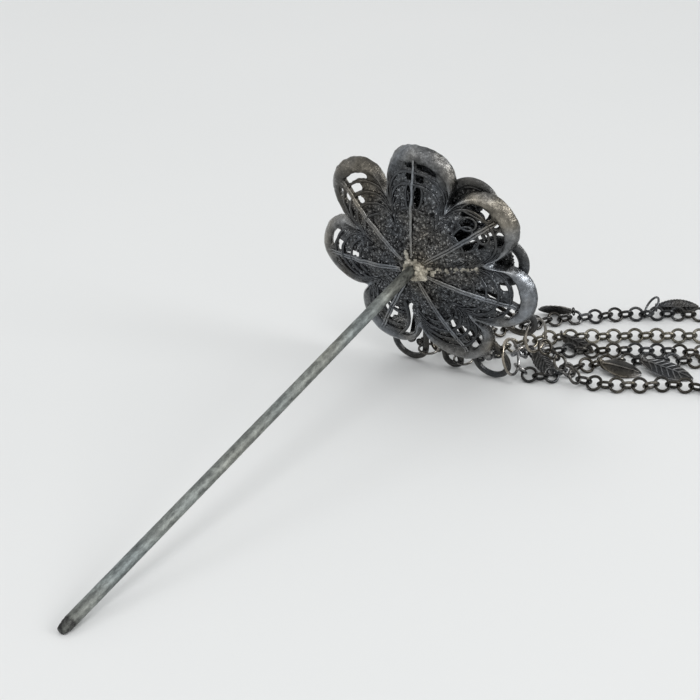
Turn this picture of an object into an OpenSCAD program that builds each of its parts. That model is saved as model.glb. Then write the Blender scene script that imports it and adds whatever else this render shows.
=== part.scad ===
// Filigree flower hairpin: a round rod, a two-tier flower and five rolo chains with leaf drops.
// It lies on a table, on the tip of its rod, the lower loops of its flower and its chains.
// X runs from the rod's tip to the flower, Z is up, and the table is z = 0.

/* [Rod] */
// Diameter of the round rod
rod_d = 2.1; // [1.6:0.1:2.4]
// Length of the rod, from the flower's back to its tip
rod_len = 101.5; // [90:0.5:110]
// Length of the blunt cone at the tip
tip_len = 1.8; // [1:0.1:3]
// Diameter of the flat end of the tip
tip_d = 1.3; // [0.9:0.1:1.6]
// Slope of the rod as it lies, in degrees
rod_slope = 13.3; // [13.2:0.05:13.5]

/* [Back tier] */
// Thickness of the shell between its rim and its hub
shell_t = 0.7; // [0.5:0.05:0.9]
// Thickness of the rounded rim
rim_t = 1.8; // [1.2:0.1:2]
// How far the rim stands proud of the shell
rim_lift = 0.55; // [0.2:0.05:0.8]
// How far the midribs stand proud of the shell
rib_lift = 0.35; // [0.1:0.05:0.5]
// Radius of the flat hub where the rod is soldered on
hub_r = 3.2; // [2.8:0.1:3.6]

/* [Front tier] */
// Width of the frames of the lower loops, seen from the front
frame_w = 0.9; // [0.7:0.05:1.1]
// Depth of the frames
frame_t = 1.1; // [0.8:0.05:1.2]
// Thickness of the web that fills the roots of the petals
web_t = 0.5; // [0.4:0.05:0.7]
// Radius of the dome in the middle of the front
dome_r = 5.2; // [4.6:0.1:5.6]

/* [Chains] */
// Radius of a link, to the middle of its wire
link_r = 1.36; // [1.34:0.01:1.38]
// Radius of a link's wire
wire_r = 0.2; // [0.17:0.01:0.2]
// Clear space between two links
link_gap = 0.2; // [0.18:0.01:0.24]

/* [Leaf drops] */
// Thickness of a leaf
leaf_t = 0.6; // [0.4:0.05:0.7]
// Radius of a leaf's bail, to the middle of its wire
bail_r = 0.72; // [0.7:0.01:0.76]
// Radius of a bail's wire
bail_wire_r = 0.16; // [0.13:0.01:0.17]

/* [Hidden] */
// Where the rod's foot stands in plan, seen from the middle of the whole object
foot = [16.47, 19.63];

// Flower frame: z runs back along the rod, x is up the flower, y across it
tip_clear = tip_d / 2 * cos(rod_slope);
foot_z = tip_clear + rod_len * sin(rod_slope);

// Back petals: angle round the rod, reach of the tip, radius of the rounded end,
// bow of the midrib, and slope of the crease after the petal
BACK = [
    [-2.5, 22.8, 6.8, 0.0079, 0.208],
    [49, 22.9, 6.5, 0.0101, 0.206],
    [98, 23.1, 6.6, 0.0105, 0.141],
    [148.8, 23.1, 6.8, 0.0092, 0.065],
    [202.5, 22.6, 6.7, 0.0095, 0.081],
    [251.8, 22.5, 6.3, 0.0102, 0.219],
    [304.6, 21.8, 6.6, 0.012, 0.203]
];
// Slope of the midribs where they leave the hub, and bow of the creases
mid_slope = 0.051;
crease_bow = 0.0107;
// Rows of the back tier, from hub to rim: share of the way out, lift, thickness
ROWS = [
    [0.14, 0, shell_t + 0.2],
    [0.26, 0, shell_t + 0.1],
    [0.38, 0, shell_t],
    [0.48, 0, shell_t],
    [0.57, 0, shell_t],
    [0.655, 0, shell_t],
    [0.69, 0, shell_t],
    [0.765, 0, shell_t],
    [0.8, 0, shell_t],
    [0.868, 0, shell_t + 0.1],
    [0.885, rim_lift * 0.6, rim_t * 0.75],
    [0.93, rim_lift, rim_t],
    [0.975, rim_lift * 0.6, rim_t * 0.85],
    [1, -0.35, rim_t * 0.3]
];
// Columns of one petal, as angles round its rounded end; 0 is its tip
SIDES = [0, 6, 22, 40, 58, 78, 98];
side_n = len(SIDES);
// Openings, as the row each fills and the column that it runs to from the midrib
GAPS = [[3, 2], [4, 3], [6, 4], [8, 4]];
col_n = 2 * side_n;

function end_turn(p) = 90 + asin(p[2] / (p[1] - p[2]));
function side_angle(p, j) = j == side_n ? end_turn(p) : SIDES[j];
// Column c of a petal runs from its left crease over the midrib to its right crease
function column_angle(p, c) = c < side_n ? -side_angle(p, side_n - c) : side_angle(p, c - side_n + 1);
function petal_outline(p, turn) = [p[1] - p[2] + p[2] * cos(turn), p[2] * sin(turn)];
// How far a point is from the midline towards the crease, 0 to 1
function across(p, q) = min(1, abs(atan2(q[1], q[0])) / asin(p[2] / (p[1] - p[2])));
function back_height(k, q) =
    let (
        p = BACK[k],
        crease = q[1] < 0 ? BACK[(k + len(BACK) - 1) % len(BACK)][4] : p[4],
        r = max(0, norm(q) - hub_r),
        side = pow(across(p, q), 1.46)
    )
    -(mid_slope * r + p[3] * r * r) * (1 - side) - (crease * r + crease_bow * r * r) * side;

function turned(q, a) = [q[0] * cos(a) - q[1] * sin(a), q[0] * sin(a) + q[1] * cos(a)];
function rib_here(p, c, i) = abs(column_angle(p, c)) < 7 && i > 0 && i < 10 ? rib_lift : 0;
function back_point(k, c, i, top) =
    let (
        p = BACK[k],
        row = ROWS[i],
        q = row[0] * petal_outline(p, column_angle(p, c)),
        z = back_height(k, q) + row[1] + rib_here(p, c, i),
        flat = turned(q, p[0])
    )
    [flat[0], flat[1], top ? z : z - row[2] - rib_here(p, c, i)];

row_n = len(ROWS);
ring_n = len(BACK) * col_n;
function gap_here(c, i) =
    let (side = c < side_n ? side_n - 2 - c : c - side_n)
    len([for (g = GAPS) if (g[0] == i && side >= 1 && side < g[1]) 1]) > 0;
// A cell lies between columns k and k + 1 and rows i and i + 1
function solid_cell(k, i) =
    i >= 0 && i < row_n - 1 && !(k % col_n < col_n - 1 && gap_here(k % col_n, i));
function at(k, i, side) = ((k + ring_n) % ring_n) * row_n * 2 + i * 2 + side;
function quad(a, b, c, d) = [[a, b, c], [a, c, d]];

module back_petals() {
    points = [for (k = [0:ring_n - 1], i = [0:row_n - 1], side = [0, 1])
        back_point(floor(k / col_n), k % col_n, i, side == 0)];
    middle = len(points);
    skins = [for (k = [0:ring_n - 1], i = [0:row_n - 2]) if (solid_cell(k, i))
        each concat(
            quad(at(k, i, 0), at(k + 1, i, 0), at(k + 1, i + 1, 0), at(k, i + 1, 0)),
            quad(at(k, i, 1), at(k, i + 1, 1), at(k + 1, i + 1, 1), at(k + 1, i, 1)))];
    walls = [for (k = [0:ring_n - 1], i = [0:row_n - 2]) if (solid_cell(k, i))
        each concat(
            i < row_n - 1 && !solid_cell(k, i + 1)
                ? quad(at(k, i + 1, 0), at(k + 1, i + 1, 0), at(k + 1, i + 1, 1), at(k, i + 1, 1)) : [],
            i > 0 && !solid_cell(k, i - 1)
                ? quad(at(k + 1, i, 0), at(k, i, 0), at(k, i, 1), at(k + 1, i, 1)) : [],
            !solid_cell((k + 1) % ring_n, i)
                ? quad(at(k + 1, i + 1, 0), at(k + 1, i, 0), at(k + 1, i, 1), at(k + 1, i + 1, 1)) : [],
            !solid_cell((k + ring_n - 1) % ring_n, i)
                ? quad(at(k, i, 0), at(k, i + 1, 0), at(k, i + 1, 1), at(k, i, 1)) : [])];
    hub = [for (k = [0:ring_n - 1])
        each [[middle, at(k + 1, 0, 0), at(k, 0, 0)], [middle + 1, at(k, 0, 1), at(k + 1, 0, 1)]]];
    color("dimgray") on_flower()
        polyhedron(points = concat(points, [[0, 0, 0], [0, 0, -shell_t - 0.2]]),
            faces = concat(skins, walls, hub));
}

module on_flower() {
    translate([foot[0], foot[1], foot_z]) rotate([0, -90 - rod_slope, 0]) children();
}

// The rod's foot is filed a little thinner, as far as the solder reaches
foot_len = 1.7;
foot_d = rod_d - 0.4;
module pin_rod() {
    straight = rod_len - tip_len;
    color("slategray") on_flower() {
        translate([0, 0, 0.1]) cylinder(h = foot_len, d = foot_d, $fn = 48);
        translate([0, 0, foot_len]) cylinder(h = straight - foot_len, d = rod_d, $fn = 48);
        translate([0, 0, straight]) cylinder(h = tip_len, d1 = rod_d, d2 = tip_d, $fn = 48);
    }
}

// Lumps of solder round the rod's foot: place up, place across, radius
LUMPS = [[-0.5, -1.75, 1.25], [-1.5, -0.3, 0.9], [0.8, -1.5, 0.95], [1.3, 0.6, 0.8], [-0.6, 1.3, 0.8]];
module solder_lump() {
    color("darkkhaki") on_flower() difference() {
        union() {
            for (l = LUMPS) translate([l[0], l[1], 0.2]) sphere(r = l[2], $fn = 32);
            translate([0, 0, 0.1]) cylinder(h = 0.5, r = 2.1, $fn = 32);
        }
        translate([0, 0, -3]) cylinder(h = 3.1, r = 6, $fn = 32);
        translate([0, 0, -1]) cylinder(h = 5, d = foot_d + 0.2, $fn = 48);
    }
}

// Front petals: angle round the rod, reach, radius of the rounded end, drop of the tip below the root,
// width of the frame, reach of the web
FRONT = [
    [359, 19.6, 4.4, 2.28, 1.9, 18.6],
    [33, 15.5, 3.2, 1.7, 1.4, 14.6],
    [67.4, 15.5, 3.2, 1.7, 1.4, 14.6],
    [101.8, 15.5, 3.2, 1.7, 1.4, 14.6],
    [135.8, 15.5, 3.2, 1.7, 1.4, 14.6],
    [162.9, 27.14, 3.9, 1.86, frame_w, 13],
    [184.7, 26.36, 2.2, 2.41, frame_w, 13],
    [205.1, 28.59, 3.9, 2.41, frame_w, 13],
    [234.5, 24.3, 3.4, 3.3, frame_w, 13],
    [274.6, 20.3, 5.3, 2.5, 1.9, 17.2],
    [319.8, 20.95, 5.5, 2.45, 1.9, 20.5]
];
root_r = 3.5;
root_z = -4.8;
function front_tilt(p) = atan2(p[3], p[1] - root_r);

// The straight sides end a little inside the round end, so that they cross it cleanly
module teardrop(end_r, middle_x) {
    side = asin(end_r / middle_x);
    corner = [middle_x - 0.96 * end_r * sin(side), 0.96 * end_r * cos(side)];
    translate([middle_x, 0]) circle(r = end_r, $fn = 64);
    polygon([[0, 0], [corner[0], -corner[1]], corner]);
}

module front_petal(k) {
    p = FRONT[k];
    middle_x = p[1] - p[2];
    inner_r = p[2] - p[4];
    scroll_r = p[2] * 0.3;
    scroll_x = middle_x - 1.2;
    bead_r = inner_r - 2 * scroll_r + 0.35;
    color("gray") on_flower() rotate([0, 0, p[0]]) translate([root_r, 0, root_z])
        rotate([0, front_tilt(p), 0]) translate([-root_r, 0, -frame_t / 2]) {
            translate([0, 0, (frame_t - web_t) / 2]) linear_extrude(height = web_t) difference() {
                intersection() {
                    teardrop(p[2] - 0.2, middle_x);
                    circle(r = p[5], $fn = 96);
                }
                circle(r = root_r + 0.1, $fn = 48);
            }
            linear_extrude(height = frame_t) difference() {
                union() {
                    difference() {
                        teardrop(p[2], middle_x);
                        teardrop(inner_r, middle_x);
                    }
                    translate([root_r, -0.4]) square([scroll_x - root_r, 0.8]);
                    translate([scroll_x, 0]) circle(r = bead_r, $fn = 32);
                    for (side = [-1, 1])
                        translate([scroll_x, side * (inner_r - scroll_r + 0.15)])
                            circle(r = scroll_r, $fn = 32);
                }
                circle(r = root_r, $fn = 48);
            }
        }
}

module front_boss() {
    stem_top = -shell_t - 0.45;
    flange_z = root_z - 1.3;
    color("gray") on_flower() {
        translate([0, 0, flange_z]) cylinder(h = stem_top - flange_z, r = root_r - 0.2, $fn = 48);
        translate([0, 0, flange_z - 0.8]) cylinder(h = 0.8, r = dome_r, $fn = 48);
        intersection() {
            translate([0, 0, flange_z + 1.2]) sphere(r = dome_r - 0.6, $fn = 48);
            translate([0, 0, flange_z - 6]) cylinder(h = 5.6, r = dome_r, $fn = 48);
        }
    }
}

// Height of a lying chain's middle: its links lean 45 degrees to either side
lie = link_r * sin(45) + wire_r;
pitch = 2 * (link_r - wire_r) - link_gap;
// Routes of the chains, each point measured from the rod's foot in plan and from the table
ROUTES = [
    [[14.9, 3.3, 2.6], [17, 2.8, 1.6], [19.5, 2.2, lie], [24, 0.8, lie], [30, -1.5, lie], [36, -5, lie],
        [41, -8.5, lie], [44.5, -12, lie], [47.5, -15.5, lie], [50.5, -18.5, lie], [53, -22, lie],
        [55.5, -25.5, lie], [58, -30, lie], [60.5, -35, lie], [62.5, -40, lie]],
    [[15.7, -4, 2.1], [17.8, -4.4, 1.3], [20, -5.2, lie], [24.5, -7.4, lie], [29, -9.6, lie],
        [33, -12.5, lie], [36.5, -17, lie], [39, -21, lie], [41.5, -24.5, lie], [44, -28, lie],
        [46, -31.5, lie], [48.5, -35.5, lie], [51, -39.5, lie], [53, -44, lie]],
    [[16.75, -13.35, 4.5], [19.6, -13.15, 3.3], [22.3, -13.6, 2.1], [24.6, -14.2, 1.3], [27, -15.4, lie],
        [29.2, -18, lie], [31, -21.4, lie], [33, -24.2, lie], [35.4, -27.5, lie], [37.2, -31, lie],
        [39.3, -34.5, lie], [41, -38.5, lie], [43.5, -42.5, lie], [45.5, -47, lie]],
    [[18.2, -26.9, lie], [18.2, -29.2, lie], [18.9, -31.3, lie], [20.2, -33.4, lie], [21.5, -35.6, lie],
        [22.8, -37.6, lie], [24.5, -39.5, lie], [25.7, -41.8, lie], [26.6, -44.2, lie],
        [27.2, -46.6, lie], [28.6, -50.5, lie], [30.2, -54.4, lie]],
    [[15.25, -14.8, 1.8], [15, -17, lie], [15.8, -19.2, lie], [17.6, -20.7, lie], [20, -21.7, lie],
        [22.4, -22.6, lie], [24.8, -24, lie], [27.7, -26.4, lie], [30.6, -29.5, lie], [33, -33.2, lie],
        [35.3, -36.8, lie], [37.6, -40.5, lie], [40, -45, lie], [41.5, -49.5, lie]]
];
// The fourth chain drops from its ring before it lies on the table
DROP = [[13.3, -20.6, 8.4], [14.1, -22, 6.7], [14.9, -23.3, 5], [15.9, -24.5, 3.3], [17.1, -25.6, 1.9]];
// Which way the first link of each chain leans
LEANS = [1, -1, -1, 1, -1];

// A smooth curve through the points of a route, eight steps to each stretch
function route(n) = n == 3 ? concat(DROP, ROUTES[n]) : ROUTES[n];
function blend(a, b, c, d, t) =
    0.5 * (2 * b + (c - a) * t + (2 * a - 5 * b + 4 * c - d) * t * t + (3 * b - a - 3 * c + d) * t * t * t);
function curve(pts) = [for (j = [0:len(pts) - 2], s = [0:7])
    blend(pts[max(0, j - 1)], pts[j], pts[j + 1], pts[min(len(pts) - 1, j + 2)], s / 8)];
function run_length(c) = [for (i = 0, s = 0; i < len(c); s = i + 1 < len(c) ? s + norm(c[i + 1] - c[i]) : s,
    i = i + 1) s];
CURVES = [for (n = [0:len(ROUTES) - 1]) curve(route(n))];
RUNS = [for (c = CURVES) run_length(c)];
TABLES = [for (n = [0:len(CURVES) - 1]) [for (axis = [0, 1, 2])
    [for (i = [0:len(CURVES[n]) - 1]) [RUNS[n][i], CURVES[n][i][axis]]]]];
function point_at(n, s) = [for (t = TABLES[n]) lookup(s, t)];
function link_count(n) = floor(RUNS[n][len(RUNS[n]) - 1] / pitch) + 1;
function heading(n, i) = point_at(n, i * pitch + 0.5) - point_at(n, i * pitch - 0.5);
function yaw_of(v) = atan2(v[1], v[0]);
function dip_of(v) = atan2(-v[2], norm([v[0], v[1]]));
// A link that dips needs a little more height to stay on the table
function least_height(v) = link_r * sqrt(1 - 0.5 * pow(cos(dip_of(v)), 2)) + wire_r;
function link_at(n, i) =
    let (p = point_at(n, i * pitch))
    [p[0], p[1], max(p[2], least_height(heading(n, i)))];
function lean_of(n, i) = i % 2 == 0 ? LEANS[n] : -LEANS[n];

module in_plan(place) {
    translate([foot[0] + place[0], foot[1] + place[1], place[2]]) children();
}

module link(r, wire) {
    rotate_extrude($fn = 48) translate([r, 0]) circle(r = wire, $fn = 24);
}

module chain(n) {
    for (i = [0:link_count(n) - 1]) {
        v = heading(n, i);
        color("darkgray") in_plan(link_at(n, i)) rotate([0, dip_of(v), yaw_of(v)])
            rotate([45 * lean_of(n, i), 0, 0]) link(link_r, wire_r);
    }
}

// Jump rings: middle, radius, wire radius and turn
stand_at = 23;
stand_yaw = yaw_of(heading(0, stand_at));
stand_foot = link_at(0, stand_at) + link_r * sin(45) * [sin(stand_yaw), -cos(stand_yaw), 1];
stand_r = 2.1;
stand_up = stand_r - 0.75;
RINGS = [
    [[12.4, 3.58, 2.69], 1.8, 0.23, [4, -6.5, -1.3]],
    [[13.25, -3.65, 2.03], 1.8, 0.22, [3.4, -13.1, -3.9]],
    [[13.07, -13.74, 4.93], 3.36, 0.27, [73.2, 2.8, 5.4]],
    [[11.95, -19.24, 10.99], 3.05, 0.26, [84.1, -0.4, -9.6]],
    [stand_foot + stand_up * [0.56 * cos(stand_yaw), 0.56 * sin(stand_yaw), 0.83], stand_r, 0.24,
        [0, -56, stand_yaw]]
];

module jump_ring(k) {
    ring = RINGS[k];
    color("silver") in_plan(ring[0]) rotate(ring[3]) link(ring[1], ring[2]);
}

// Leaf drops: chain, link, side (1 left, -1 right, 0 at the chain's end), the leaf's turn from the
// chain's direction, length, width, roll, ribs on each side
LEAVES = [
    [0, 16, 1, 146, 8.6, 4, 42, 5],
    [0, 24, 1, 17, 11.4, 2.6, 68, 8],
    [4, 12, -1, -27, 12, 4, 20, 6],
    [4, 8, -1, -27, 9.4, 4, 20, 0],
    [1, 10, -1, -38, 8.4, 3.6, 12, 4],
    [2, 2, -1, -96, 7.4, 4, 0, 6],
    [0, 0, 0, 0, 9, 3.8, 0, 5],
    [1, 0, 0, 0, 9, 3.8, 0, 5],
    [2, 0, 0, 0, 9, 3.8, 0, 5],
    [3, 0, 0, 0, 9, 3.8, 0, 5],
    [4, 0, 0, 0, 9, 3.8, 0, 5]
];
// How far the middle of a bail is beyond the wire that it holds
slack = 0.1;

function leaf_link(d) = d[2] == 0 ? link_count(d[0]) - 1 : d[1];
function leaf_yaw(d) = yaw_of(heading(d[0], leaf_link(d)));
// Where a leaf's bail holds the wire of its link
function held_at(d) =
    let (c = link_at(d[0], leaf_link(d)), a = leaf_yaw(d))
    d[2] == 0 ? c + link_r * [cos(a), sin(a), 0]
        : c + link_r * sin(45) * [-sin(a) * d[2], cos(a) * d[2], 1];

module vesica(length, width) {
    bow = (length * length + width * width) / (4 * width);
    intersection() {
        translate([length / 2, bow - width / 2]) circle(r = bow, $fn = 96);
        translate([length / 2, width / 2 - bow]) circle(r = bow, $fn = 96);
    }
}

module ribbed_leaf(length, width, ribs) {
    translate([0, 0, -leaf_t / 2]) {
        linear_extrude(height = leaf_t) vesica(length, width);
        translate([length * 0.1, -0.25, leaf_t / 2]) cube([length * 0.8, 0.5, leaf_t / 2 + 0.3]);
        if (ribs > 0) translate([0, 0, leaf_t / 2]) linear_extrude(height = leaf_t / 2 + 0.15)
            intersection() {
                translate([length * 0.04, 0]) vesica(length * 0.92, width * 0.9);
                for (i = [0:ribs - 1], side = [-1, 1])
                    translate([length * (0.14 + 0.68 * i / ribs), 0]) rotate([0, 0, side * 58])
                        translate([0, -0.16]) square([width, 0.32]);
            }
    }
}

// A bail stands square to the wire that it holds, and the leaf leaves it at a turn of its own
module leaf_drop(k) {
    d = LEAVES[k];
    bail_yaw = leaf_yaw(d) + 90 * d[2];
    out = [cos(bail_yaw), sin(bail_yaw), 0];
    length = d[4] - 2 * bail_r;
    place = held_at(d) + slack * out;
    // Height of the leaf's end: it rests on its end, or on the lower edge of its blade if it is rolled
    end_z = leaf_t / 2 + 0.03;
    edge = 2 * d[5] * sin(d[6]);
    under = leaf_t / 2 * cos(d[6]) + 0.06;
    rest = place[2] - end_z > edge ? end_z
        : max(end_z, place[2] + edge - 2 * sqrt(edge * (place[2] - under)));
    color("slategray") {
        in_plan(place) rotate([90, 0, bail_yaw]) link(bail_r, bail_wire_r);
        in_plan(place + (bail_r - 0.08) * out)
            rotate([0, asin((place[2] - rest) / length), leaf_yaw(d) + d[3]]) rotate([d[6], 0, 0])
                ribbed_leaf(length, d[5], d[7]);
    }
}

function names(stem, count) = [for (i = [1:count]) str(stem, i)];

pin_rod();
solder_lump();
back_petals();
front_boss();
for (k = [0:len(FRONT) - 1]) front_petal(k);
for (n = [0:len(ROUTES) - 1]) chain(n);
for (k = [0:len(RINGS) - 1]) jump_ring(k);
for (k = [0:len(LEAVES) - 1]) leaf_drop(k);
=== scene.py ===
# %% [markdown]
# # A filigree flower hairpin
# The object is an old silver hairpin: a plain round rod, and at its end a flower of two tiers made from
# wire and thin sheet, with five rolo chains that carry small leaf drops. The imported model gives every
# piece its place and size; this lesson builds the metalwork over it, one piece at a time.

# %% Start
import math

import bmesh
import bpy
import numpy as np
from mathutils import Matrix, Vector, noise


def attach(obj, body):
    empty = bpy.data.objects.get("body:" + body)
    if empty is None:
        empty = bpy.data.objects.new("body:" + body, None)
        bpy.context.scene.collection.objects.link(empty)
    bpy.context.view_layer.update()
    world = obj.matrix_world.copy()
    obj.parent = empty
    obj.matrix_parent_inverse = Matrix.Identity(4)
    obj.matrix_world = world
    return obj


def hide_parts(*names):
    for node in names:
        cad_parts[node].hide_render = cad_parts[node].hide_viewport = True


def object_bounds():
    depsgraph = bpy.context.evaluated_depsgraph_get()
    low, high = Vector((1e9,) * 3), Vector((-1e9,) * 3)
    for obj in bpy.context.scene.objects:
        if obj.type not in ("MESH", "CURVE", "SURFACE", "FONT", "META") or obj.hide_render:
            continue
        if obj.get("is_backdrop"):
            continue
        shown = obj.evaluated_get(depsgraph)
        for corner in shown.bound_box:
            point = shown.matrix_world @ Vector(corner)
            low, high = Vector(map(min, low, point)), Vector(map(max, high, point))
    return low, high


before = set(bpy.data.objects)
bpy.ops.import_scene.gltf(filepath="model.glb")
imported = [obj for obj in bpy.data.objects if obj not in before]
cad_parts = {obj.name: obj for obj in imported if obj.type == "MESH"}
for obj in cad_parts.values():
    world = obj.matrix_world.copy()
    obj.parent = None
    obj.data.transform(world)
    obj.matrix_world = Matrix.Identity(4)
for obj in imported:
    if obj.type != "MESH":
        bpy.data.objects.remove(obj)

CAD_LOW, CAD_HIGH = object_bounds()
print("CAD box in mm:", [round(v * 1000, 2) for v in (CAD_HIGH - CAD_LOW)])

# %% [markdown]
# ## Working in millimetres
# A jeweller thinks in millimetres, and Blender's unit here is the metre. So all shapes below are worked
# out in millimetres and turned into metres once, where a mesh is made. Each point can carry named values
# (attributes), such as how worn the metal is there, and the materials read them later.

# %% Small helpers
MM = 0.001


def placed(name, data):
    obj = bpy.data.objects.new(name, data)
    bpy.context.scene.collection.objects.link(obj)
    return obj


def give(mesh, layer, values):
    """Gives the points a named value: one number for all, one a point, or one vector a point."""
    values = np.asarray(values, float)
    if values.ndim == 0:
        values = np.full(len(mesh.vertices), values)
    vector = values.ndim == 2
    attribute = mesh.attributes.new(layer, "FLOAT_VECTOR" if vector else "FLOAT", "POINT")
    attribute.data.foreach_set("vector" if vector else "value", values.ravel())


def add_mesh(name, points, faces=(), edges=(), **layers):
    mesh = bpy.data.meshes.new(name)
    mesh.from_pydata((np.asarray(points, float) * MM).tolist(), list(edges), list(faces))
    mesh.update()
    for layer, values in layers.items():
        give(mesh, layer, values)
    return placed(name, mesh)


def settle(obj):
    """Applies the modifiers."""
    graph = bpy.context.evaluated_depsgraph_get()
    finished = bpy.data.meshes.new_from_object(
        obj.evaluated_get(graph), preserve_all_data_layers=True, depsgraph=graph)
    obj.modifiers.clear()
    rough = obj.data
    obj.data = finished
    bpy.data.meshes.remove(rough)
    return obj


def join(name, parts):
    first = parts[0]
    with bpy.context.temp_override(active_object=first, object=first,
                                   selected_objects=parts, selected_editable_objects=parts):
        bpy.ops.object.join()
    first.name = first.data.name = name
    return first


def triangles(obj):
    obj.data.calc_loop_triangles()
    return len(obj.data.loop_triangles)


def dress(obj, metal):
    """Turns the faces outwards, shades them smooth and gives a metal; returns the number of open edges."""
    bm = bmesh.new()
    bm.from_mesh(obj.data)
    bmesh.ops.recalc_face_normals(bm, faces=bm.faces)
    loose = sum(1 for e in bm.edges if not e.is_manifold)
    bm.to_mesh(obj.data)
    bm.free()
    obj.data.shade_smooth()
    obj.data.materials.append(metal)
    return loose


def grid_faces(rows, columns, closed=False):
    """Faces of a grid with its points listed row by row; closed joins each row's end to its start."""
    beside = list(range(1, columns)) + [0] * closed
    return [[a * columns + b, a * columns + c, (a + 1) * columns + c, (a + 1) * columns + b]
            for a in range(rows - 1) for b, c in enumerate(beside)]


def all_round(count):
    return np.linspace(0, 2 * math.pi, count, endpoint=False)


def hoop(radius, angles, z=0.0):
    return np.stack([radius * np.cos(angles), radius * np.sin(angles), z + 0 * angles], -1)


def waver(a, b, c):
    return noise.noise(Vector((a, b, c)))


# %% [markdown]
# ## The flower's own frame
# The flower leans with the rod, which rests on its tip. It is far easier to draw the petals in a frame
# whose z runs back along the rod, x up the flower and y across it, and to tilt the result at the end.
# `flower()` does that tilt; `on_table()` places what lies on the table, measured from the rod's foot.

# %% Two frames
SLOPE = math.radians(13.3)
FOOT = (16.47, 19.63)
ROD_LENGTH = 101.5
# the rod's axis stands this far off the table at its tip
TIP_CLEAR = 0.65
FOOT_Z = TIP_CLEAR * math.cos(SLOPE) + ROD_LENGTH * math.sin(SLOPE)


def flower(points):
    p = np.asarray(points, float)
    x = FOOT[0] - p[..., 0] * math.sin(SLOPE) - p[..., 2] * math.cos(SLOPE)
    z = FOOT_Z + p[..., 0] * math.cos(SLOPE) - p[..., 2] * math.sin(SLOPE)
    return np.stack([x, FOOT[1] + p[..., 1], z], -1)


def on_table(points):
    return np.asarray(points, float) + np.array([FOOT[0], FOOT[1], 0.0])


def turn_flat(x, y, degrees):
    c, s = math.cos(math.radians(degrees)), math.sin(math.radians(degrees))
    return x * c - y * s, x * s + y * c


print("the rod's foot stands", round(FOOT_Z, 2), "mm over the table")

# %% [markdown]
# ## Nodes from code
# Materials and Geometry Nodes are both trees of nodes. One helper puts a node into a tree: it takes the
# node's inputs by their identifiers, each either a plain value or another node's output, and gives back the
# output that the next node needs. Three more make the parts that every material here needs.

# %% Node helpers
def put(tree, kind, inputs=None, output=0, **settings):
    node = tree.nodes.new(kind)
    for key, value in settings.items():
        setattr(node, key, value)
    for key, value in (inputs or {}).items():
        socket = next(s for s in node.inputs if s.identifier == key)
        if isinstance(value, bpy.types.NodeSocket):
            tree.links.new(value, socket)
        else:
            socket.default_value = value
    return node.outputs[output]


def noise_at(tree, where, scale, detail, roughness=0.6):
    return put(tree, "ShaderNodeTexNoise",
               {"Vector": where, "Scale": scale, "Detail": detail, "Roughness": roughness}, "Fac")


def colours_along(tree, value, *stops):
    """A colour ramp; each stop is a place from 0 to 1 and a colour."""
    colour = put(tree, "ShaderNodeValToRGB", {"Fac": value}, "Color")
    elements = colour.node.color_ramp.elements
    for element, (place, rgb) in zip(list(elements), (stops[0], stops[-1])):
        element.position, element.color = place, (*rgb, 1)
    for place, rgb in stops[1:-1]:
        elements.new(place).color = (*rgb, 1)
    return colour


def remap(tree, value, from_min, from_max, to_min, to_max):
    return put(tree, "ShaderNodeMapRange", {"Value": value, "From Min": from_min, "From Max": from_max,
                                            "To Min": to_min, "To Max": to_max})


# %% [markdown]
# ## Blackened silver
# Old silver goes dark where nobody rubs it and stays bright where hair and fingers pass. The material
# follows that: a value on the points for wear, which on three rims also holds painted shade, and two noises
# choose between a black hollow, a lead-grey body and a bright edge, and a `tone` value lightens or darkens
# a stretch; near the hub of two petals it is a painted patch of light. Where the sheet is `grainy`, a
# Voronoi pattern adds pebbles to colour and bump. A third, wide noise tints the metal bluish here and
# brownish there, as the photo shows. Roughness and bump change too, so that no patch looks like plastic.

# %% The metal's recipe
PEBBLE_SCALE, PEBBLE_EDGE, TINT_SCALE, STREAK = 1700.0, 0.42, 70.0, 2.2
# how far the noises and the pebbles shift the wear
PATCH_SHARE, SPECKLE_SHARE, PEBBLE_SHARE = 0.6, 0.7, 0.95
# the Mix node has an output for each kind of data, and this one is the colour
RESULT_COLOUR = 2


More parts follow.
